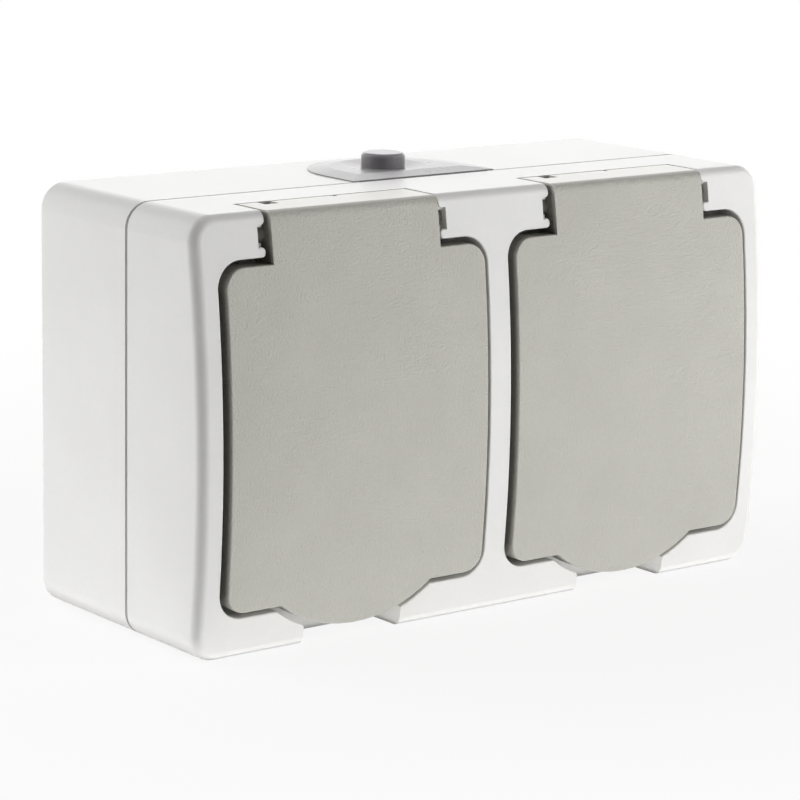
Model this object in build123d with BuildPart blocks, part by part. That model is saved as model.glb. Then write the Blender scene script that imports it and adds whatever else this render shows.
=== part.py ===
from build123d import *
import math
import os

# Two-gang surface-mounted socket with sprung flap lids, in millimetres.
# The wall is the plane y = 0 and the front faces -Y. X runs right and Z runs up, and the origin
# is the middle of the back face. A depth is a distance from the wall towards the room.

# Housing
width = 140.0
height = 83.0
box_depth = 30.5
cover_depth = 25.0
bow_sag = 3.1
bow_crest = -5.6
corner_radius = 5.0
front_radius = 2.0
back_radius = 1.0
box_wall = 2.2
back_wall = 2.2
cover_wall = 2.2
seam_gap = 0.8
seal_inset = 0.9

# Lids and the wells that they close
side_rail = 4.95
mullion = 5.2
lid_gap = 1.25
lid_proud = 0.9
lid_corner = 4.0
lid_thickness = 2.2
lid_edge_radius = 0.25
rim_radius = 0.3
skirt_depth = 4.2
skirt_wall = 1.8
ear_height = 8.4
bottom_rail = 7.7
neck_width = 38.7
neck_gap = 0.9
return_depth = 9.3
tongue_chord = 35.2
tongue_drop = 6.0
finger_notch_width = 23.0
well_depth = 11.0
well_wall = 2.2
floor_thickness = 2.0

# Hinge
pivot_drop = 4.5
pivot_setback = 3.0
stub_radius = 1.7
stub_reach = 1.4
stub_end_gap = 0.2
hinge_clearance = 0.1
snap_lip = 0.2
mouth_height = 4.1
mouth_depth = 1.2
lobe_radius = 0.8
swing_clearance = 0.5
cheek_reach = 4.2
cheek_drop = 3.0

# Lid spring, its pin and the cut-outs in the lid's top return
spring_wire_radius = 0.35
spring_leg_radius = 0.32
spring_groove = 0.2
spring_mean_radius = 2.05
spring_turns = 12
spring_pin_radius = 1.4
spring_drop = 0.4
spring_rest_gap = 0.3
lug_thickness = 1.4
lug_margin = 0.8
return_notch_offset = 4.2
return_notch_width = 3.2
return_notch_depth = 2.8
nick_offset = 2.5
nick_size = 0.9

# Lid seal
lid_seal_width = 3.0
lid_seal_grip = 1.6
seal_rib_wall = 1.1
seal_rest_gap = 0.3
seal_standoff = 2.0
groove_clearance = 0.1

# Plug recess insert
recess_radius = 19.75
recess_depth = 17.5
recess_wall = 2.0
recess_floor = 3.0
flange_radius = 24.5
flange_thickness = 2.0
flange_edge_radius = 0.6
insert_clearance = 0.5
insert_seal_thickness = 0.8
insert_seal_inset = 0.5
pin_pitch = 19.0
pin_hole_radius = 2.7
guide_width = 4.8
guide_height = 2.0
guide_setback = 2.5
earth_slot_width = 5.6
earth_slot_setback = 3.5
earth_slot_margin = 2.0

# Contact carriers
carrier_standoff = 3.8
carrier_side_gap = 1.6
carrier_height = 38.0
carrier_corner = 3.0
carrier_front_wall = 2.0
carrier_boss_radius = 5.0
carrier_boss_height = 3.8
carrier_ear_width = 12.0
carrier_ear_height = 10.0
carrier_ear_thickness = 4.0
contact_cavity_width = 10.0
contact_cavity_margin = 0.9
channel_clearance = 0.15
carrier_pin_clearance = 0.2

# Brass bars
bar_thickness = 0.8
pin_grip = 4.6
leaf_width = 8.0
leaf_end_gap = 1.0
earth_arm_width = 4.5
earth_arm_setback = 0.75
earth_bulge = 2.2
earth_bulge_setback = 10.8
earth_bulge_length = 7.0
earth_tip_length = 1.5
clamp_width = 8.0
clamp_height = 7.0
clamp_thickness = 1.4
terminal_pad_width = 12.0
terminal_pad_margin = 5.0
rib_width = 2.0
rib_inset = 6.5

# Screws
screw_radius = 1.45
thread_clearance = 0.05
screw_hole_clearance = 0.35
screw_head_radius = 3.1
screw_head_height = 1.6
screw_slot_width = 0.9
screw_slot_depth = 0.8
boss_radius = 3.8
boss_rib_width = 2.0
pilot_tip_gap = 1.0
cover_screw_inset_x = 5.4
cover_screw_inset_z = 6.1
cover_screw_grip = 10.0
carrier_screw_grip = 3.0
insert_screw_grip = 12.0
terminal_screw_tail = 2.4
wall_hole_radius = 2.25
wall_hole_inset_x = 22.0
wall_hole_inset_z = 10.5

# Cable gland
gland_half_width = 17.5
gland_back = 3.0
gland_lip = 1.5
gland_flange = 0.2
gland_rise = 0.7
gland_bevel = 4.5
gland_inner_flange = 1.2
gland_clearance = 0.1
nub_radius = 4.4
nub_height = 3.2
nub_edge_radius = 0.8
nub_skin = 1.0
dish_radius = 8.7
dish_depth = 0.45

# Places worked out from the sizes above
half_height = height / 2
box_rim = box_depth - seam_gap / 2
cover_rim = box_depth + seam_gap / 2
front_mid = box_depth + cover_depth
bow_radius = (half_height**2 + bow_sag**2) / (2 * bow_sag)
bow_centre = front_mid - bow_radius

lid_width = (width - mullion) / 2 - side_rail - 2 * lid_gap
lid_x = (mullion + lid_width) / 2 + lid_gap
lid_centres = {"left": -lid_x, "right": lid_x}
lid_top = half_height - ear_height - lid_gap
lid_bottom = -half_height + bottom_rail + lid_gap
tongue_radius = (tongue_chord**2 / 4 + tongue_drop**2) / (2 * tongue_drop)
tongue_z = lid_bottom - tongue_drop + tongue_radius
floor_front = front_mid - well_depth
floor_back = floor_front - floor_thickness


def front_at(z, inset=0):
    """Depth of the bowed front face at height z, or of a face that lies inset behind it."""
    return bow_centre + math.sqrt((bow_radius - inset) ** 2 - (z - bow_crest) ** 2)


pivot_z = half_height - pivot_drop
pivot_depth = front_at(pivot_z) - pivot_setback
return_end = front_at(half_height) - return_depth
skirt_back = front_at(lid_bottom) - skirt_depth
swing_radius = math.hypot(pivot_depth - return_end, pivot_drop) + swing_clearance
bearing_radius = stub_radius + hinge_clearance
neck_hole_half = neck_width / 2 + neck_gap
stub_end = neck_hole_half + stub_reach

spring_offset = -neck_width / 2 + return_notch_offset + return_notch_width / 2
notch_front = return_end + return_notch_depth
spring_depth = notch_front - spring_wire_radius - hinge_clearance + spring_mean_radius
spring_z = pivot_z - spring_drop
spring_pitch = 2 * spring_wire_radius
spring_length = spring_turns * spring_pitch
lug_offset = spring_offset + spring_length - spring_wire_radius + spring_rest_gap

flange_back = floor_front + insert_seal_thickness
flange_front = flange_back + flange_thickness
recess_bottom = flange_front - recess_depth
insert_base = recess_bottom - recess_floor
cup_radius = recess_radius + recess_wall
earth_slot_reach = recess_wall + earth_slot_margin
insert_screw_seat = recess_bottom - screw_head_height
insert_screw_tip = insert_base - insert_screw_grip
lid_seal_radius = (recess_radius + flange_radius) / 2
seal_back = flange_front + seal_rest_gap
seal_rib_back = seal_back + seal_standoff
seal_seat = seal_rib_back + lid_seal_grip

carrier_back = back_wall + carrier_standoff
carrier_front = insert_base - carrier_boss_height
earth_arm_offset = recess_radius + earth_arm_setback
earth_bulge_depth = flange_front - earth_bulge_setback
carrier_width = 2 * (earth_arm_offset - bar_thickness / 2 - carrier_side_gap)
rib_offset = carrier_width / 2 - rib_inset
pin_z = pin_pitch / 2
bar_half = pin_grip / 2 + bar_thickness
bar_front = carrier_back + bar_thickness
cavity_end = carrier_front - carrier_front_wall
leaf_end = cavity_end - leaf_end_gap
carrier_screw_z = (carrier_height + carrier_ear_height) / 2
carrier_ear_front = carrier_back + carrier_ear_thickness

pilot_radius = screw_radius + thread_clearance
screw_hole_radius = screw_radius + screw_hole_clearance
cover_screw_x = lid_x + lid_width / 2 + lid_gap - cover_screw_inset_x
cover_screw_top = half_height - ear_height - cover_screw_inset_z
cover_screw_points = [(sx * cover_screw_x, sz * cover_screw_top) for sx in (-1, 1) for sz in (-1, 1)]
carrier_screw_points = [(x, sz * carrier_screw_z) for x in lid_centres.values() for sz in (-1, 1)]
terminal_points = [(0, pin_z), (0, 0), (0, -pin_z)]
gland_arc_y = -(gland_back + gland_half_width)
nub_depth = (gland_back + box_rim) / 2


def face(depth):
    """Sketch plane parallel to the wall, looking at the front: local x is X and local y is Z."""
    return Plane.XZ.offset(depth)


def side(x):
    """Sketch plane across the width at x: local x is depth and local y is Z."""
    return Plane(origin=(x, 0, 0), x_dir=(0, -1, 0), z_dir=(-1, 0, 0))


def bowed_body(front_inset, side_inset):
    """The cover's form with a bowed front, drawn in at the front and all round its sides."""
    reach = half_height + corner_radius
    top_end = (front_at(reach, front_inset), reach)
    bottom_end = (front_at(-reach, front_inset), -reach)
    with BuildPart() as body:
        with BuildSketch(face(cover_rim)):
            RectangleRounded(width - 2 * side_inset, height - 2 * side_inset, corner_radius - side_inset)
        extrude(amount=2 * cover_depth)
        with BuildSketch(side(0)):
            with BuildLine():
                Polyline(bottom_end, (0, -reach), (0, reach), top_end)
                ThreePointArc(top_end, (front_mid - front_inset, bow_crest), bottom_end)
            make_face()
        extrude(amount=width, both=True, mode=Mode.INTERSECT)
        if side_inset == 0:
            bowed_face = body.faces().sort_by(Axis.Y)[0]
            fillet(bowed_face.edges(), front_radius)
    return body.part


def lid_outline(depth, x, gap, neck_half):
    """The lid's outline grown by gap: a rounded body, a neck past the top and a curved tongue."""
    neck_bottom = lid_top - lid_corner
    neck_top = half_height + lid_corner
    with BuildSketch(face(depth)) as outline:
        with Locations((x, tongue_z)):
            Circle(tongue_radius + gap)
        with Locations((x, lid_bottom + lid_corner)):
            Rectangle(width, height, align=(Align.CENTER, Align.MIN), mode=Mode.SUBTRACT)
        with Locations((x, (lid_top + lid_bottom) / 2)):
            RectangleRounded(lid_width + 2 * gap, lid_top - lid_bottom + 2 * gap, lid_corner + gap)
        with Locations((x, (neck_top + neck_bottom) / 2)):
            Rectangle(2 * neck_half, neck_top - neck_bottom)
    return outline.sketch


def pivot_disc(x, radius):
    """A disc about the hinge axis, in the cross-section at x."""
    with BuildSketch(side(x)) as disc:
        with Locations((pivot_depth, pivot_z)):
            Circle(radius)
    return disc.sketch


def gland_outline(z, grow, front):
    """The gland's U, grown by grow, at height z: a half round at the back and straight sides to front."""
    radius = gland_half_width + grow
    with BuildSketch(Plane.XY.offset(z)) as outline:
        with Locations((0, gland_arc_y)):
            Circle(radius)
        with Locations((0, gland_arc_y)):
            Rectangle(2 * radius, front + gland_arc_y, align=(Align.CENTER, Align.MAX))
        with Locations((0, -front)):
            Rectangle(4 * radius, 2 * radius, align=(Align.CENTER, Align.MAX), mode=Mode.SUBTRACT)
    return outline.sketch


def slotted_screws(points, seat, tip):
    """Cheese-head screws at points whose heads sit on depth seat and whose shanks end at depth tip."""
    with BuildPart() as screws:
        with BuildSketch(face(seat)):
            with Locations(*points):
                Circle(screw_head_radius)
        extrude(amount=screw_head_height)
        with BuildSketch(face(seat + screw_head_height - screw_slot_depth)):
            with Locations(*points):
                Rectangle(2 * screw_head_radius, screw_slot_width)
        extrude(amount=screw_slot_depth, mode=Mode.SUBTRACT)
        with BuildSketch(face(tip)):
            with Locations(*points):
                Circle(screw_radius)
        extrude(amount=seat - tip)
    return screws.part


def ring(depth, x, inner, outer):
    """A flat ring about a socket's centre line."""
    with BuildSketch(face(depth)) as outline:
        with Locations((x, 0)):
            Circle(outer)
            Circle(inner, mode=Mode.SUBTRACT)
    return outline.sketch


def is_front_bow(surface):
    """Whether a curved face belongs to the cover's outer front."""
    return abs(surface.radius - bow_radius) < cover_wall / 2


def is_opening_rim(edge):
    """Whether an edge of the front belongs to a lid opening's sides, shoulders or bottom."""
    middle = edge.center()
    in_height = lid_bottom - tongue_drop + lid_gap < middle.Z < lid_top + lid_gap + rim_radius
    return in_height and abs(middle.X) < lid_x + lid_width / 2 + 2 * lid_gap


def is_lobe_edge(edge):
    """Whether an edge along the depth is a corner of an ear beside a lid's neck, at the front."""
    middle = edge.center()
    beside_neck = abs(abs(abs(middle.X) - lid_x) - neck_hole_half) < snap_lip / 2
    heights = (pivot_z + mouth_height / 2, pivot_z - mouth_height / 2, half_height - ear_height)
    at_corner = min(abs(middle.Z - z) for z in heights) < snap_lip / 2
    return beside_neck and at_corner


os.makedirs("parts", exist_ok=True)


def write(part, name):
    """Label a finished piece and write it under its node's name."""
    part.label = name
    export_step(part, f"parts/{name}.step")


cover_outer = bowed_body(0, 0)
cover_inner = bowed_body(cover_wall, cover_wall)
lid_outer = bowed_body(-lid_proud, 0)
lid_inner = bowed_body(lid_thickness - lid_proud, lid_thickness)
seal_rib_limit = bowed_body(lid_thickness / 2 - lid_proud, lid_thickness / 2)

# Back box: an open tray with bosses, bar supports, wall-screw holes and the slot for the gland
with BuildPart() as back_box:
    with BuildSketch(face(0)):
        RectangleRounded(width, height, corner_radius)
    extrude(amount=box_rim)
    fillet(back_box.faces().sort_by(Axis.Y)[-1].edges(), back_radius)
    with BuildSketch(face(back_wall)):
        RectangleRounded(width - 2 * box_wall, height - 2 * box_wall, corner_radius - box_wall)
    extrude(amount=box_rim - back_wall, mode=Mode.SUBTRACT)
    # columns for the cover screws, tied to the end walls by ribs
    with BuildSketch(face(back_wall)):
        for x, z in cover_screw_points:
            with Locations((x, z)):
                Circle(boss_radius)
            with Locations(((x + math.copysign(width / 2 - box_wall / 2, x)) / 2, z)):
                Rectangle(width / 2 - box_wall / 2 - cover_screw_x, boss_rib_width)
    extrude(amount=box_rim - back_wall)
    # stands for the carriers, ribs behind the bars and the pad behind the terminals
    with BuildSketch(face(back_wall)):
        with Locations(*carrier_screw_points):
            Circle(boss_radius)
        for x in lid_centres.values():
            with Locations((x - rib_offset, 0), (x + rib_offset, 0)):
                Rectangle(rib_width, pin_pitch + 2 * bar_half)
        Rectangle(terminal_pad_width, pin_pitch + 2 * terminal_pad_margin)
    extrude(amount=carrier_standoff)
    with BuildSketch(face(box_rim)):
        with Locations(*cover_screw_points):
            Circle(pilot_radius)
    extrude(amount=-(cover_screw_grip + pilot_tip_gap), mode=Mode.SUBTRACT)
    with BuildSketch(face(carrier_back)):
        with Locations(*carrier_screw_points):
            Circle(pilot_radius)
    extrude(amount=-(carrier_screw_grip + pilot_tip_gap), mode=Mode.SUBTRACT)
    with BuildSketch(face(back_wall)):
        with Locations(*terminal_points):
            Circle(screw_hole_radius)
    extrude(amount=carrier_standoff, mode=Mode.SUBTRACT)
    with BuildSketch(face(0)):
        with GridLocations(width - 2 * wall_hole_inset_x, height - 2 * wall_hole_inset_z, 2, 2):
            Circle(wall_hole_radius)
    extrude(amount=back_wall, mode=Mode.SUBTRACT)
    gland_slot = gland_outline(half_height, -gland_lip, box_rim + seam_gap)
    extrude(to_extrude=gland_slot, amount=-box_wall, mode=Mode.SUBTRACT)
write(back_box.part, "back_box")

# Cable gland: a soft membrane whose two lips grip the slot, with a nub to cut open
with BuildPart() as cable_gland:
    extrude(to_extrude=gland_outline(half_height, -gland_lip - gland_clearance, box_rim), amount=-box_wall)
    extrude(to_extrude=gland_outline(half_height, 0, box_rim), amount=gland_rise)
    inner_lip = gland_outline(half_height - box_wall, -gland_lip / 2, box_rim)
    extrude(to_extrude=inner_lip, amount=-gland_inner_flange)
    top = cable_gland.faces().sort_by(Axis.Z)[-1]
    chamfer(top.edges(), length=gland_bevel, length2=gland_rise - gland_flange, reference=top)
    with Locations((0, -nub_depth, half_height + gland_rise)):
        at_top = (Align.CENTER, Align.CENTER, Align.MAX)
        Cone(nub_radius, dish_radius, dish_depth, align=at_top, mode=Mode.SUBTRACT)
    with BuildSketch(Plane.XY.offset(half_height)):
        with Locations((0, -nub_depth)):
            Circle(nub_radius)
    extrude(amount=nub_height)
    fillet(cable_gland.faces().sort_by(Axis.Z)[-1].edges(), nub_edge_radius)
    with BuildSketch(Plane.XY.offset(half_height - box_wall - gland_inner_flange)):
        with Locations((0, -nub_depth)):
            Circle(nub_radius - nub_skin)
    extrude(amount=box_wall + gland_inner_flange + nub_height - nub_skin, mode=Mode.SUBTRACT)
write(cable_gland.part, "cable_gland")

# Gasket between the rims of the box and the cover
with BuildPart() as box_seal:
    with BuildSketch(face(box_rim)):
        RectangleRounded(width - 2 * seal_inset, height - 2 * seal_inset, corner_radius - seal_inset)
        seal_hole_width = width - 2 * box_wall
        seal_hole_height = height - 2 * box_wall
        RectangleRounded(seal_hole_width, seal_hole_height, corner_radius - box_wall, mode=Mode.SUBTRACT)
    extrude(amount=seam_gap)
write(box_seal.part, "box_seal")

# Walls of the wells, hinge troughs and screw tubes, kept inside the cover's outer form
with BuildPart() as well_walls:
    for x in lid_centres.values():
        well = lid_outline(floor_back, x, lid_gap + well_wall, neck_hole_half + well_wall)
        extrude(to_extrude=well, amount=cover_depth)
        trough = pivot_disc(x, swing_radius + well_wall)
        extrude(to_extrude=trough, amount=neck_hole_half + well_wall, both=True)
    with BuildSketch(face(cover_rim)):
        with Locations(*cover_screw_points):
            Circle(boss_radius)
    extrude(amount=floor_front - cover_rim)
    add(cover_outer, mode=Mode.INTERSECT)

# Front cover: bowed shell with two wells, hinge ears, finger notches and insert openings
with BuildPart() as front_cover:
    add(cover_outer)
    add(cover_inner, mode=Mode.SUBTRACT)
    add(well_walls.part)
    for x in lid_centres.values():
        opening = lid_outline(floor_front, x, lid_gap, neck_hole_half)
        extrude(to_extrude=opening, amount=cover_depth, mode=Mode.SUBTRACT)
        trough = pivot_disc(x, swing_radius)
        extrude(to_extrude=trough, amount=neck_hole_half, both=True, mode=Mode.SUBTRACT)
        bearing = pivot_disc(x, bearing_radius)
        extrude(to_extrude=bearing, amount=stub_end + stub_end_gap, both=True, mode=Mode.SUBTRACT)
        with BuildSketch(face(pivot_depth)):
            with Locations((x, pivot_z)):
                Rectangle(2 * (stub_end + stub_end_gap), 2 * (stub_radius - snap_lip))
        extrude(amount=cover_depth, mode=Mode.SUBTRACT)
        with BuildSketch(face(front_at(pivot_z) - mouth_depth)):
            with Locations((x, pivot_z)):
                Rectangle(2 * (stub_end + stub_end_gap), mouth_height)
        extrude(amount=cover_depth, mode=Mode.SUBTRACT)
        with BuildSketch(face(floor_front)):
            with Locations((x, lid_bottom)):
                Rectangle(finger_notch_width, height, align=(Align.CENTER, Align.MAX))
        extrude(amount=cover_depth, mode=Mode.SUBTRACT)
        with BuildSketch(face(floor_back)):
            with Locations((x, 0)):
                Circle(cup_radius + insert_clearance)
        extrude(amount=floor_thickness, mode=Mode.SUBTRACT)
    with BuildSketch(face(cover_rim)):
        with Locations(*cover_screw_points):
            Circle(screw_hole_radius)
    extrude(amount=floor_front - cover_rim, mode=Mode.SUBTRACT)
    # rounded lobes of the ears beside the lids' necks
    fillet(front_cover.edges().filter_by(Axis.Y).filter_by(is_lobe_edge), lobe_radius)
    # rounded rims of the two lid openings, between the ears and the finger notches
    bowed_faces = front_cover.faces().filter_by(GeomType.CYLINDER).filter_by(is_front_bow)
    rims = bowed_faces.edges().filter_by(is_opening_rim)
    fillet(rims, rim_radius)
write(front_cover.part, "front_cover")


def lid_hollow(x):
    """The room under a lid's plate, within its skirt and between the cheeks of its neck."""
    with BuildPart() as hollow:
        under_plate = lid_outline(cover_rim, x, -skirt_wall, neck_width / 2 - skirt_wall)
        extrude(to_extrude=under_plate, amount=cover_depth + lid_proud)
        add(lid_inner, mode=Mode.INTERSECT)
    return hollow.part


def seal_rib(x):
    """The round rib under a lid that holds its seal."""
    reach = lid_seal_width / 2 + seal_rib_wall
    with BuildPart() as rib:
        rib_ring = ring(seal_rib_back, x, lid_seal_radius - reach, lid_seal_radius + reach)
        extrude(to_extrude=rib_ring, amount=cover_depth)
        add(seal_rib_limit, mode=Mode.INTERSECT)
    return rib.part


def make_lid(x):
    """A flap lid: bowed plate with a skirt, a neck that turns back over the top, and hinge stubs."""
    hollow = lid_hollow(x)
    rib = seal_rib(x)
    cheek_inside = neck_width / 2 - skirt_wall
    lug_half = spring_pin_radius + lug_margin
    groove_half = lid_seal_width / 2 + groove_clearance
    with BuildPart() as lid:
        extrude(to_extrude=lid_outline(skirt_back, x, 0, neck_width / 2), amount=cover_depth)
        with BuildSketch(side(x)):
            with BuildLine():
                Polyline(
                    (front_mid + lid_proud, half_height),
                    (return_end, half_height),
                    (return_end, half_height - lid_thickness),
                    (pivot_depth - cheek_reach, pivot_z - cheek_drop),
                    (skirt_back, lid_top - skirt_wall),
                    (front_mid + lid_proud, lid_top - skirt_wall),
                    close=True,
                )
            make_face()
        extrude(amount=neck_width / 2, both=True)
        add(lid_outer, mode=Mode.INTERSECT)
        bowed_face = lid.faces().filter_by(GeomType.CYLINDER).sort_by(SortBy.AREA)[-1]
        rounded_edges = bowed_face.edges().filter_by(lambda edge: edge.center().Z < lid_top + lid_gap / 2)
        fillet(rounded_edges, lid_edge_radius)
        add(hollow, mode=Mode.SUBTRACT)
        add(rib)
        groove = ring(seal_rib_back, x, lid_seal_radius - groove_half, lid_seal_radius + groove_half)
        extrude(to_extrude=groove, amount=lid_seal_grip, mode=Mode.SUBTRACT)
        # hinge stubs on the outside of the cheeks
        for way in (-1, 1):
            with BuildSketch(side(x + way * cheek_inside)):
                with Locations((pivot_depth, pivot_z)):
                    Circle(stub_radius)
            extrude(amount=-way * (stub_end - cheek_inside))
        # pin for the spring, from one cheek to a lug under the return
        with BuildSketch(side(x - cheek_inside)):
            with Locations((spring_depth, spring_z)):
                Circle(spring_pin_radius)
        extrude(amount=-(cheek_inside + lug_offset))
        with BuildSketch(side(x + lug_offset)):
            with Locations((spring_depth, spring_z - lug_half)):
                lug_height = half_height - lid_thickness / 2 - spring_z + lug_half
                Rectangle(2 * lug_half, lug_height, align=(Align.CENTER, Align.MIN))
        extrude(amount=-lug_thickness)
        # cut-outs in the rear edge of the return
        with BuildSketch(Plane.XY.offset(half_height)):
            with Locations((x + spring_offset, -return_end)):
                Rectangle(return_notch_width, return_notch_depth, align=(Align.CENTER, Align.MAX))
            with Locations((x + nick_offset, -return_end)):
                Rectangle(nick_size, nick_size, align=(Align.CENTER, Align.MAX))
        extrude(amount=-lid_thickness, mode=Mode.SUBTRACT)
    return lid.part


def make_lid_spring(x):
    """A close-wound torsion spring: one leg stands in the return's notch, one leans on the trough."""
    leg_x = x + spring_offset
    coil_x = leg_x - spring_wire_radius
    last_leg_x = leg_x + (spring_turns - 1) * spring_pitch
    leg_z = spring_z - spring_mean_radius
    trough_depth = pivot_depth - math.sqrt(swing_radius**2 - (pivot_z - leg_z) ** 2)
    coil_axis = Axis((coil_x, -spring_depth, spring_z), (1, 0, 0))
    section = Plane(origin=(coil_x, -spring_depth, spring_z), x_dir=(1, 0, 0), z_dir=(0, -1, 0))
    with BuildPart() as spring:
        with BuildSketch(side(coil_x)):
            with Locations((spring_depth, spring_z)):
                Circle(spring_mean_radius + spring_wire_radius)
                Circle(spring_mean_radius - spring_wire_radius, mode=Mode.SUBTRACT)
        extrude(amount=-spring_length)
        with BuildSketch(section):
            for turn in range(1, spring_turns):
                with Locations((turn * spring_pitch, spring_mean_radius + spring_wire_radius)):
                    Rectangle(spring_groove, spring_groove, rotation=45)
        revolve(axis=coil_axis, mode=Mode.SUBTRACT)
        with BuildSketch(Plane.XY.offset(spring_z)):
            with Locations((leg_x, spring_mean_radius - spring_depth)):
                Circle(spring_leg_radius)
        extrude(amount=half_height - spring_z - spring_rest_gap)
        with BuildSketch(face(trough_depth + spring_rest_gap)):
            with Locations((last_leg_x, leg_z)):
                Circle(spring_leg_radius)
        extrude(amount=spring_depth - trough_depth - spring_rest_gap)
    return spring.part


def make_insert(x):
    """A round plug recess with a flange, two pin holes, guide ribs and slots for the earth springs."""
    with BuildPart() as insert:
        with BuildSketch(face(flange_back)):
            with Locations((x, 0)):
                Circle(flange_radius)
        extrude(amount=flange_thickness)
        fillet(insert.faces().sort_by(Axis.Y)[0].edges(), flange_edge_radius)
        with BuildSketch(face(insert_base)):
            with Locations((x, 0)):
                Circle(cup_radius)
        extrude(amount=flange_back - insert_base)
        with BuildSketch(face(recess_bottom)):
            with Locations((x, 0)):
                Circle(recess_radius)
        extrude(amount=recess_depth, mode=Mode.SUBTRACT)
        with BuildSketch(face(recess_bottom)):
            for way in (-1, 1):
                with Locations((x, way * (recess_radius - guide_height / 2 + recess_wall / 4))):
                    Rectangle(guide_width, guide_height + recess_wall / 2)
        extrude(amount=recess_depth - guide_setback)
        with BuildSketch(face(insert_base)):
            for way in (-1, 1):
                with Locations((x + way * cup_radius, 0)):
                    Rectangle(2 * earth_slot_reach, earth_slot_width)
        extrude(amount=flange_front - earth_slot_setback - insert_base, mode=Mode.SUBTRACT)
        with BuildSketch(face(insert_base)):
            with Locations((x, pin_z), (x, -pin_z)):
                Circle(pin_hole_radius)
            with Locations((x, 0)):
                Circle(screw_hole_radius)
        extrude(amount=recess_floor, mode=Mode.SUBTRACT)
        with BuildSketch(face(insert_screw_seat)):
            with Locations((x, 0)):
                Circle(screw_head_radius + screw_hole_clearance)
        extrude(amount=screw_head_height, mode=Mode.SUBTRACT)
    return insert.part


def make_carrier(x):
    """A contact carrier: block with contact cavities, bar channels, a screw boss and two fixing ears."""
    with BuildPart() as carrier:
        with BuildSketch(face(carrier_back)):
            with Locations((x, 0)):
                RectangleRounded(carrier_width, carrier_height, carrier_corner)
        extrude(amount=carrier_front - carrier_back)
        with BuildSketch(face(carrier_back)):
            with Locations((x, 0)):
                Rectangle(carrier_ear_width, carrier_height + 2 * carrier_ear_height)
        extrude(amount=carrier_ear_thickness)
        with BuildSketch(face(carrier_front)):
            with Locations((x, 0)):
                Circle(carrier_boss_radius)
        extrude(amount=carrier_boss_height)
        with BuildSketch(face(carrier_back)):
            with Locations((x, pin_z), (x, 0), (x, -pin_z)):
                Rectangle(2 * carrier_width, 2 * (bar_half + channel_clearance))
        extrude(amount=bar_thickness + channel_clearance, mode=Mode.SUBTRACT)
        with BuildSketch(face(carrier_back)):
            with Locations((x, pin_z), (x, -pin_z)):
                Rectangle(contact_cavity_width, 2 * (bar_half + contact_cavity_margin))
        extrude(amount=cavity_end - carrier_back, mode=Mode.SUBTRACT)
        with BuildSketch(face(cavity_end)):
            with Locations((x, pin_z), (x, -pin_z)):
                Circle(pin_hole_radius + carrier_pin_clearance)
        extrude(amount=carrier_front_wall, mode=Mode.SUBTRACT)
        with BuildSketch(face(insert_screw_tip - pilot_tip_gap)):
            with Locations((x, 0)):
                Circle(pilot_radius)
        extrude(amount=insert_base - insert_screw_tip + pilot_tip_gap, mode=Mode.SUBTRACT)
        with BuildSketch(face(carrier_back)):
            with Locations((x, carrier_screw_z), (x, -carrier_screw_z)):
                Circle(screw_hole_radius)
        extrude(amount=carrier_ear_thickness, mode=Mode.SUBTRACT)
    return carrier.part


def make_pin_bar(z):
    """A brass bar across both sockets with a pair of pin-gripping leaves at each."""
    leaf_offset = (pin_grip + bar_thickness) / 2
    with BuildPart() as bar:
        with BuildSketch(face(carrier_back)):
            with Locations((0, z)):
                Rectangle(2 * lid_x + leaf_width, 2 * bar_half)
                Circle(screw_hole_radius, mode=Mode.SUBTRACT)
        extrude(amount=bar_thickness)
        with BuildSketch(face(carrier_back)):
            for x in lid_centres.values():
                with Locations((x, z + leaf_offset), (x, z - leaf_offset)):
                    Rectangle(leaf_width, bar_thickness)
        extrude(amount=leaf_end - carrier_back)
    return bar.part


def earth_arm(x, way):
    """An earth spring's section, seen from above: a strip that bulges into the recess near its end."""
    half = bar_thickness / 2
    middle = x + way * earth_arm_offset
    crest = middle - way * earth_bulge
    line = [
        (middle, carrier_back),
        (middle, earth_bulge_depth - earth_bulge_length / 2),
        (crest, earth_bulge_depth),
        (middle, earth_bulge_depth + earth_bulge_length / 2),
        (middle, earth_bulge_depth + earth_bulge_length / 2 + earth_tip_length),
    ]
    left = [(px - half, -depth) for px, depth in line]
    right = [(px + half, -depth) for px, depth in reversed(line)]
    with BuildSketch() as section:
        with BuildLine():
            Polyline(*left, *right, close=True)
        make_face()
    return section.sketch


for name, x in lid_centres.items():
    write(make_lid(x), f"lid_{name}")
    write(make_lid_spring(x), f"lid_spring_{name}")
    write(make_insert(x), f"insert_{name}")
    write(make_carrier(x), f"carrier_{name}")

    # soft ring in the lid's groove, just clear of the insert's flange
    with BuildPart() as lid_seal:
        seal_half = lid_seal_width / 2
        extrude(
            to_extrude=ring(seal_back, x, lid_seal_radius - seal_half, lid_seal_radius + seal_half),
            amount=seal_seat - seal_back,
        )
    write(lid_seal.part, f"lid_seal_{name}")

    # flat ring between the well's floor and the insert's flange
    with BuildPart() as insert_seal:
        extrude(
            to_extrude=ring(
                floor_front,
                x,
                cup_radius + insert_clearance + insert_seal_inset,
                flange_radius - insert_seal_inset,
            ),
            amount=insert_seal_thickness,
        )
    write(insert_seal.part, f"insert_seal_{name}")

write(make_pin_bar(pin_z), "live_bar")
write(make_pin_bar(-pin_z), "neutral_bar")

# Earth bar with its four springs, two to each recess
with BuildPart() as earth_bar:
    with BuildSketch(face(carrier_back)):
        Rectangle(2 * (lid_x + earth_arm_offset) + bar_thickness, 2 * bar_half)
        Circle(screw_hole_radius, mode=Mode.SUBTRACT)
    extrude(amount=bar_thickness)
    for x in lid_centres.values():
        for way in (-1, 1):
            extrude(to_extrude=earth_arm(x, way), amount=earth_arm_width / 2, both=True)
write(earth_bar.part, "earth_bar")

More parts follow.
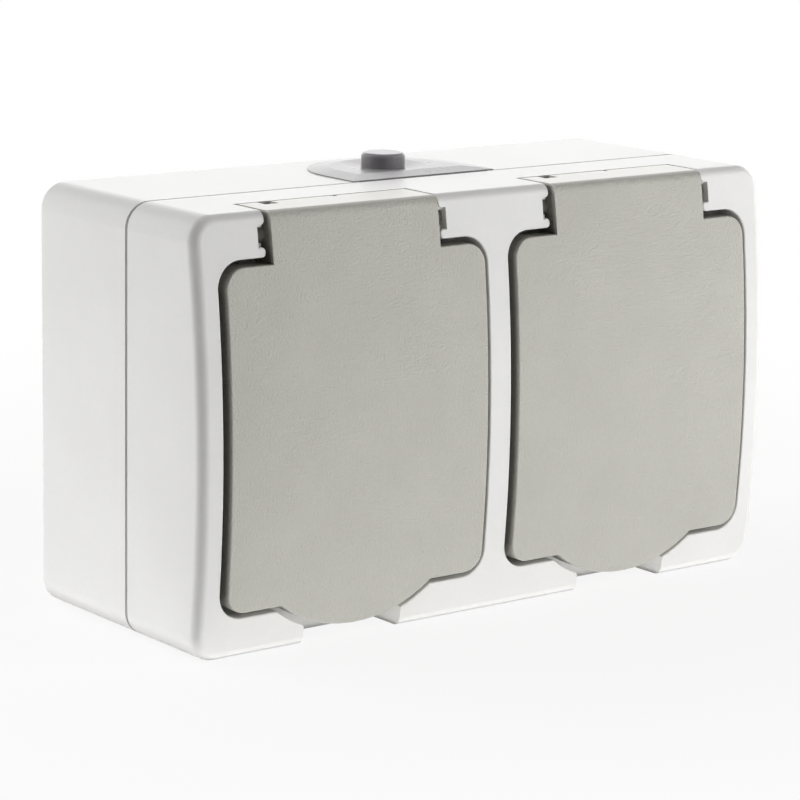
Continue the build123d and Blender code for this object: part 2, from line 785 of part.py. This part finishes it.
# Clamp plates on the bars between the two carriers
with BuildPart() as terminal_clamps:
    with BuildSketch(face(bar_front)):
        with Locations(*terminal_points):
            Rectangle(clamp_width, clamp_height)
            Circle(screw_hole_radius, mode=Mode.SUBTRACT)
    extrude(amount=clamp_thickness)
write(terminal_clamps.part, "terminal_clamps")

# Screws by what they hold: where they stand, the depth of the seat and the depth of the tip
recess_centres = [(x, 0) for x in lid_centres.values()]
screw_sets = {
    "terminal_screws": (terminal_points, bar_front + clamp_thickness, carrier_back - terminal_screw_tail),
    "insert_screws": (recess_centres, insert_screw_seat, insert_screw_tip),
    "carrier_screws": (carrier_screw_points, carrier_ear_front, carrier_back - carrier_screw_grip),
    "cover_screws": (cover_screw_points, floor_front, box_rim - cover_screw_grip),
}
for name, (points, seat, tip) in screw_sets.items():
    write(slotted_screws(points, seat, tip), name)
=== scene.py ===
import math

import bmesh
import bpy
from mathutils import Matrix, Vector

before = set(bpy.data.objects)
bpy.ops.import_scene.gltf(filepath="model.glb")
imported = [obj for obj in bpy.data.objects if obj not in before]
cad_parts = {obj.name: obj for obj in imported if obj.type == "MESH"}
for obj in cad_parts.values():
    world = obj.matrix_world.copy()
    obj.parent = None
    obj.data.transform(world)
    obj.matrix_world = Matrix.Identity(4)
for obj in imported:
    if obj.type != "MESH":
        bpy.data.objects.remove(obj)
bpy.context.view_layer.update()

MM = 0.001

# Sizes that the dressing shares with the solids
half_height = 41.5 * MM
depth_middle = -28.0 * MM
lid_x = 33.825 * MM
lid_half_width = 29.975 * MM
lid_half_height = 32.2 * MM
lid_middle = -0.35 * MM
lid_bottom = lid_middle - lid_half_height
lid_corner = 4.0 * MM
neck_half = 19.35 * MM
bow_radius = 279.332 * MM
bow_centre = 223.832 * MM
bow_crest = -5.6 * MM

# Where the lids' finish changes: the smooth top, and the painted shade of the gaps at the outline,
# under the bow and above the lower lip
smooth_top = (half_height - 0.5 * MM, half_height - 0.1 * MM)
rim_band = (-0.15 * MM, -0.03 * MM)
sunk_band = (-0.9 * MM, 0.6 * MM)
lip_band = (lid_bottom + 0.5 * MM, lid_bottom + 4.0 * MM)

# The floor in metres, and how its soft shadow fades into white
floor_half_side = 4.0
shadow_near = 0.05
shadow_far = 0.30
shadow_share = 0.12

# The room round the object: how much it lights, and how dark it is at the front left
room_light = 0.03
room_dark_side = 0.25
room_fade = (-0.9, -0.2)
room_bright_way = (0.61, 0.79, 0.0)

# Lamps that lie on the floor
table_top = 0.2 * MM - half_height
straight_up = 1.0

# The Mix node's sockets for colours
mix_factor = 0
mix_from = 6
mix_to = 7
mix_result = 2

white = (1, 1, 1, 1)


def as_colour(value):
    """A Shade as it is, and three numbers with an alpha of 1."""
    return value if isinstance(value, Shade) else (*value, 1.0)


class Shade:
    """A socket in a node tree; arithmetic on it adds Math nodes."""

    def __init__(self, tree, socket=None):
        self.tree = tree
        self.socket = socket

    def add(self, kind, settings=None, inputs=None, output=0):
        """Add a node of this kind: its settings first, then the values or links of its sockets."""
        node = self.tree.nodes.new(kind)
        for name, value in (settings or {}).items():
            setattr(node, name, value)
        for name, value in (inputs or {}).items():
            if isinstance(value, Shade):
                self.tree.links.new(value.socket, node.inputs[name])
            else:
                node.inputs[name].default_value = value
        return Shade(self.tree, node.outputs[output])

    def math(self, operation, first, second):
        return self.add("ShaderNodeMath", {"operation": operation}, {0: first, 1: second})

    def __add__(self, other):
        return self.math("ADD", self, other)

    def __radd__(self, other):
        return self.math("ADD", other, self)

    def __sub__(self, other):
        return self.math("SUBTRACT", self, other)

    def __rsub__(self, other):
        return self.math("SUBTRACT", other, self)

    def __mul__(self, other):
        return self.math("MULTIPLY", self, other)

    def __rmul__(self, other):
        return self.math("MULTIPLY", other, self)

    def __pow__(self, other):
        return self.math("POWER", self, other)

    def __rpow__(self, other):
        return self.math("POWER", other, self)

    def __abs__(self):
        return self.math("ABSOLUTE", self, 0.0)

    def at_least(self, other):
        return self.math("MAXIMUM", self, other)

    def at_most(self, other):
        return self.math("MINIMUM", self, other)

    def rise(self, low, high):
        """0 below low, 1 above high, smooth between."""
        return self.add(
            "ShaderNodeMapRange",
            {"interpolation_type": "SMOOTHSTEP"},
            {"Value": self, "From Min": low, "From Max": high},
        )

    def blend(self, start, end):
        """A colour between start and end, by this value."""
        return self.add(
            "ShaderNodeMix",
            {"data_type": "RGBA"},
            {mix_factor: self, mix_from: as_colour(start), mix_to: as_colour(end)},
            output=mix_result,
        )

    def tint(self, dark, light, low=0.3, high=0.7):
        """A colour that goes from dark to light while this value goes from low to high."""
        return self.rise(low, high).blend(dark, light)


class Finish:
    """A material built round one Principled shader, with its patterns on Object coordinates."""

    def __init__(self, name):
        self.material = bpy.data.materials.new(name)
        self.material.use_nodes = True
        self.tree = self.material.node_tree
        self.shader = self.tree.nodes["Principled BSDF"]
        self.base = Shade(self.tree)
        self.place = self.base.add("ShaderNodeTexCoord", output="Object")

    def noise(self, size_mm, detail=2.0, roughness=0.5, place=None):
        """Noise whose blobs are about size_mm across."""
        return self.base.add(
            "ShaderNodeTexNoise",
            inputs={
                "Vector": self.place if place is None else place,
                "Scale": 1.0 / (size_mm * MM),
                "Detail": detail,
                "Roughness": roughness,
            },
        )

    def parts(self, vector):
        """The X, Y and Z of a vector."""
        return [
            self.base.add("ShaderNodeSeparateXYZ", inputs={"Vector": vector}, output=name)
            for name in "XYZ"
        ]

    def bump(self, height, depth_mm):
        """A normal for a surface whose height varies by depth_mm."""
        return self.base.add(
            "ShaderNodeBump",
            inputs={"Height": height, "Distance": depth_mm * MM, "Strength": 1.0},
        )

    def set(self, **values):
        """Values or links of the shader's sockets, with _ for a space."""
        for name, value in values.items():
            socket = self.shader.inputs[name.replace("_", " ")]
            if isinstance(value, Shade):
                self.tree.links.new(value.socket, socket)
            else:
                socket.default_value = value
        return self.material


def white_shell_finish():
    """Smooth white moulded shell: a faint cloud in the colour and a very slight orange peel."""
    finish = Finish("white_moulding")
    cloud = finish.noise(18.0, detail=3.0)
    fine = finish.noise(0.9)
    peel = finish.noise(2.2, detail=1.0)
    return finish.set(
        Base_Color=(cloud * 0.7 + fine * 0.3).tint((0.820, 0.816, 0.800), (0.850, 0.846, 0.832)),
        Roughness=0.26 + fine * 0.06 + cloud * 0.06,
        Normal=finish.bump(peel, 0.012),
    )


def lid_gap_shade(across, along, above):
    """1 where the gap's shade is painted on a lid's edge: at its outline, under the cover's bow,
    above its lip.
    """
    aside = abs(abs(across) - lid_x)
    past_side = (aside - (lid_half_width - lid_corner)).at_least(0.0)
    past_end = (abs(above - lid_middle) - (lid_half_height - lid_corner)).at_least(0.0)
    past_body = (past_side * past_side + past_end * past_end) ** 0.5 - lid_corner
    past_outline = past_body.at_most(aside - neck_half)
    lift = above - bow_crest
    face = bow_centre - (bow_radius ** 2 - lift * lift) ** 0.5
    return past_outline.rise(*rim_band) * (along - face).rise(*sunk_band) * above.rise(*lip_band)


def lid_finish():
    """Warm-grey plastic with the fine pits of a spark-eroded mould, with painted gap shade round
    its edges.
    """
    finish = Finish("grained_lid")
    cloud = finish.noise(14.0, detail=3.0)
    grain = finish.noise(0.48, detail=3.0, roughness=0.6)
    pits = finish.noise(0.24, detail=1.0)
    across, along, above = finish.parts(finish.place)
    grained = 1.0 - above.rise(*smooth_top)
    # Painted shade: the lid's walls go dark where they stand in the gaps round it, but not on the
    # smooth top
    gap_shade = grained * lid_gap_shade(across, along, above)
    tone = cloud * 0.5 + grain * 0.5
    clean = tone.tint((0.490, 0.479, 0.430), (0.541, 0.529, 0.478), low=0.25, high=0.75)
    return finish.set(
        # The dark brown-grey is painted shade for the lid's walls in the gaps
        Base_Color=gap_shade.blend(clean, (0.190, 0.178, 0.150)),
        Roughness=0.30 + grained * (0.15 + grain * 0.14),
        Normal=finish.bump((grain * 0.7 + pits * 0.3) * grained, 0.28),
        Specular_IOR_Level=1.0,
    )


def gland_finish():
    """Soft grey rubber, slightly translucent and shiny."""
    finish = Finish("gland_membrane")
    cloud = finish.noise(6.0)
    fine = finish.noise(0.5)
    return finish.set(
        Base_Color=(cloud * 0.8 + fine * 0.2).tint((0.25, 0.240, 0.25), (0.31, 0.298, 0.31)),
        Roughness=0.25 + cloud * 0.08,
        Normal=finish.bump(cloud * 0.6 + fine * 0.4, 0.02),
        Subsurface_Weight=0.25,
        Subsurface_Radius=(0.003, 0.003, 0.003),
    )


def seal_finish():
    """Grey foam-like sealing rubber, matt and slightly speckled."""
    finish = Finish("seal_foam")
    cells = finish.noise(0.35)
    cloud = finish.noise(5.0)
    return finish.set(
        Base_Color=(cells * 0.6 + cloud * 0.4).tint((0.10, 0.098, 0.09), (0.17, 0.166, 0.155)),
        Roughness=0.70 + cells * 0.15,
        Normal=finish.bump(cells, 0.06),
    )


def insert_finish():
    """Light-grey thermoset of the plug recesses: hard, slightly glossy."""
    finish = Finish("recess_moulding")
    cloud = finish.noise(9.0, detail=3.0)
    fine = finish.noise(0.4)
    return finish.set(
        Base_Color=(cloud * 0.6 + fine * 0.4).tint((0.60, 0.592, 0.565), (0.66, 0.652, 0.625)),
        Roughness=0.26 + fine * 0.10,
        Normal=finish.bump(fine, 0.01),
    )


def carrier_finish():
    """Dark thermoset of the contact carriers, with a flecked filler."""
    finish = Finish("dark_thermoset")
    fleck = finish.noise(0.5, detail=3.0, roughness=0.7)
    cloud = finish.noise(7.0)
    tone = fleck * 0.7 + cloud * 0.3
    return finish.set(
        Base_Color=tone.tint((0.035, 0.034, 0.033), (0.085, 0.083, 0.080), low=0.35, high=0.75),
        Roughness=0.42 + fleck * 0.18,
        Normal=finish.bump(fleck, 0.03),
    )


def metal_finish(name, dark, light, roughness, streak_mm):
    """Drawn or plated metal: streaks along X and a tarnish that varies."""
    finish = Finish(name)
    stretched = finish.base.add(
        "ShaderNodeMapping",
        inputs={"Vector": finish.place, "Scale": (0.08, 1.0, 1.0)},
    )
    streak = finish.noise(streak_mm, detail=3.0, place=stretched)
    cloud = finish.noise(3.5, detail=3.0)
    return finish.set(
        Base_Color=(streak * 0.4 + cloud * 0.6).tint(dark, light),
        Metallic=1.0,
        Roughness=roughness + streak * 0.14,
        Normal=finish.bump(streak, 0.01),
    )


finishes = {
    "white_shell": white_shell_finish(),
    "lid_plastic": lid_finish(),
    "gland_rubber": gland_finish(),
    "seal_rubber": seal_finish(),
    "insert_plastic": insert_finish(),
    "carrier_plastic": carrier_finish(),
    "brass": metal_finish(
        "stamped_brass",
        dark=(0.62, 0.44, 0.17),
        light=(0.78, 0.58, 0.26),
        roughness=0.24,
        streak_mm=0.25,
    ),
    "zinc_steel": metal_finish(
        "plated_steel",
        dark=(0.52, 0.53, 0.54),
        light=(0.68, 0.69, 0.68),
        roughness=0.28,
        streak_mm=0.3,
    ),
    "spring_steel": metal_finish(
        "drawn_wire",
        dark=(0.42, 0.42, 0.42),
        light=(0.60, 0.60, 0.59),
        roughness=0.22,
        streak_mm=0.2,
    ),
}

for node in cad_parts.values():
    slot = node.data.materials[0].name
    node.data.materials[0] = finishes[slot]


def camera_rays(base):
    """1 for a ray that comes straight from the camera."""
    return base.add("ShaderNodeLightPath", output="Is Camera Ray")


def mirrored_rays(base):
    """1 for a ray that was mirrored, or that passed through something clear."""
    glossy = base.add("ShaderNodeLightPath", output="Is Glossy Ray")
    return glossy + base.add("ShaderNodeLightPath", output="Is Transmission Ray")


def floor_finish():
    """Pale floor that takes a soft shadow near the object and is white further off."""
    finish = Finish("pale_floor")
    finish.set(
        Base_Color=finish.noise(120.0).blend((0.86, 0.86, 0.86), (0.90, 0.90, 0.90)),
        Roughness=0.9,
        Specular_IOR_Level=0.0,
    )
    from_foot = finish.base.add(
        "ShaderNodeVectorMath",
        {"operation": "DISTANCE"},
        {0: finish.place, 1: (0.0, depth_middle, -half_height)},
        output="Value",
    )
    clear = from_foot.rise(shadow_near, shadow_far) * shadow_share + (1.0 - shadow_share)
    seen = camera_rays(finish.base) + mirrored_rays(finish.base)
    body = Shade(finish.tree, finish.shader.outputs["BSDF"])
    glow = finish.base.add("ShaderNodeEmission", inputs={"Color": white, "Strength": 1.0})
    mixed = finish.base.add("ShaderNodeMixShader", inputs={0: seen * clear, 1: body, 2: glow})
    output = finish.tree.nodes["Material Output"]
    finish.tree.links.new(mixed.socket, output.inputs["Surface"])
    return finish.material


def make_floor():
    """A wide floor under the object."""
    mesh = bpy.data.meshes.new("floor")
    shape = bmesh.new()
    bmesh.ops.create_grid(shape, x_segments=1, y_segments=1, size=floor_half_side)
    bmesh.ops.translate(shape, verts=shape.verts, vec=(0, 0, -half_height))
    shape.to_mesh(mesh)
    shape.free()
    mesh.materials.append(floor_finish())
    floor = bpy.data.objects.new("floor", mesh)
    bpy.context.scene.collection.objects.link(floor)


make_floor()


def soft_light(name, place, target, width, height, radiance, mirrored=True):
    """A soft rectangular lamp at place that looks at target, in metres, given by its radiance."""
    lamp = bpy.data.lights.new(name, "AREA")
    lamp.shape = "RECTANGLE"
    lamp.size = width
    lamp.size_y = height
    lamp.energy = radiance * math.pi * width * height
    holder = bpy.data.objects.new(name, lamp)
    holder.location = place
    aim = Vector(target) - Vector(place)
    holder.rotation_euler = aim.to_track_quat("-Z", "Y").to_euler()
    holder.visible_camera = False
    holder.visible_glossy = mirrored
    bpy.context.scene.collection.objects.link(holder)


def table_light(name, across, along, width, height, radiance):
    """A lamp that lies on the floor and shines straight up, as a lit table top does."""
    place = (across, along, table_top)
    soft_light(name, place, (across, along, straight_up), width, height, radiance)


soft_light(
    "left_lamp",
    place=(-0.80, 0.80, 0.85),
    target=(-0.07, -0.03, 0.03),
    width=1.30,
    height=1.00,
    radiance=3.75,
    mirrored=False,
)
soft_light(
    "right_lamp",
    place=(0.70, -0.81, 0.34),
    target=(0.03, -0.05, 0.00),
    width=0.70,
    height=0.60,
    radiance=4.9,
    mirrored=False,
)
soft_light(
    "back_lamp",
    place=(0.60, 0.78, 0.24),
    target=(0.0, 0.0, 0.03),
    width=1.60,
    height=0.50,
    radiance=1.12,
)
table_light("front_table", across=0.014, along=-0.2735, width=0.172, height=0.441, radiance=0.71)
table_light("right_table", across=0.45, along=-0.2835, width=0.70, height=0.421, radiance=1.50)
table_light("left_table", across=-0.2855, along=0.1465, width=0.429, height=0.407, radiance=0.62)
for name, notch_x in (("left_notch", -lid_x), ("right_notch", lid_x)):
    table_light(name, across=notch_x, along=-0.0492, width=0.0216, height=0.0075, radiance=0.80)


def make_world():
    """White where it is seen; else a room that lights little and is darker at the front left."""
    world = bpy.data.worlds.new("studio")
    world.use_nodes = True
    bpy.context.scene.world = world
    tree = world.node_tree
    base = Shade(tree)
    camera = camera_rays(base)
    way = base.add("ShaderNodeTexCoord", output="Generated")
    brighter = base.add(
        "ShaderNodeVectorMath",
        {"operation": "DOT_PRODUCT"},
        {0: way, 1: room_bright_way},
        output="Value",
    )
    room = brighter.rise(*room_fade) * (1.0 - room_dark_side) + room_dark_side
    share = mirrored_rays(base) * (1.0 - room_light) + room_light
    strength = camera + (1.0 - camera) * room * share
    ground = tree.nodes["Background"]
    ground.inputs["Color"].default_value = white
    tree.links.new(strength.socket, ground.inputs["Strength"])


make_world()


def make_camera():
    """A camera at the photograph's viewpoint, aimed a little beside the middle of the object."""
    azimuth = math.radians(-37.827)
    elevation = math.radians(11.916)
    roll = math.radians(1.029)
    distance = 643.326 * MM
    left_of_middle = 2.824 * MM
    below_middle = 3.940 * MM
    back = Vector((
        math.sin(azimuth) * math.cos(elevation),
        -math.cos(azimuth) * math.cos(elevation),
        math.sin(elevation),
    ))
    level = Vector((math.cos(azimuth), math.sin(azimuth), 0.0))
    upright = back.cross(level)
    right = math.cos(roll) * level + math.sin(roll) * upright
    up = -math.sin(roll) * level + math.cos(roll) * upright
    aim = Vector((0.0, depth_middle, 0.0)) - left_of_middle * right - below_middle * up
    eye = aim + back * distance
    lens = bpy.data.cameras.new("camera")
    lens.sensor_width = 36.0
    lens.lens = 144.566
    lens.clip_start = 0.01
    lens.clip_end = 50.0
    camera = bpy.data.objects.new("camera", lens)
    columns = Matrix((right, up, back)).transposed().to_4x4()
    camera.matrix_world = Matrix.Translation(eye) @ columns
    bpy.context.scene.collection.objects.link(camera)
    bpy.context.scene.camera = camera


make_camera()

bpy.context.scene.view_settings.view_transform = "Standard"
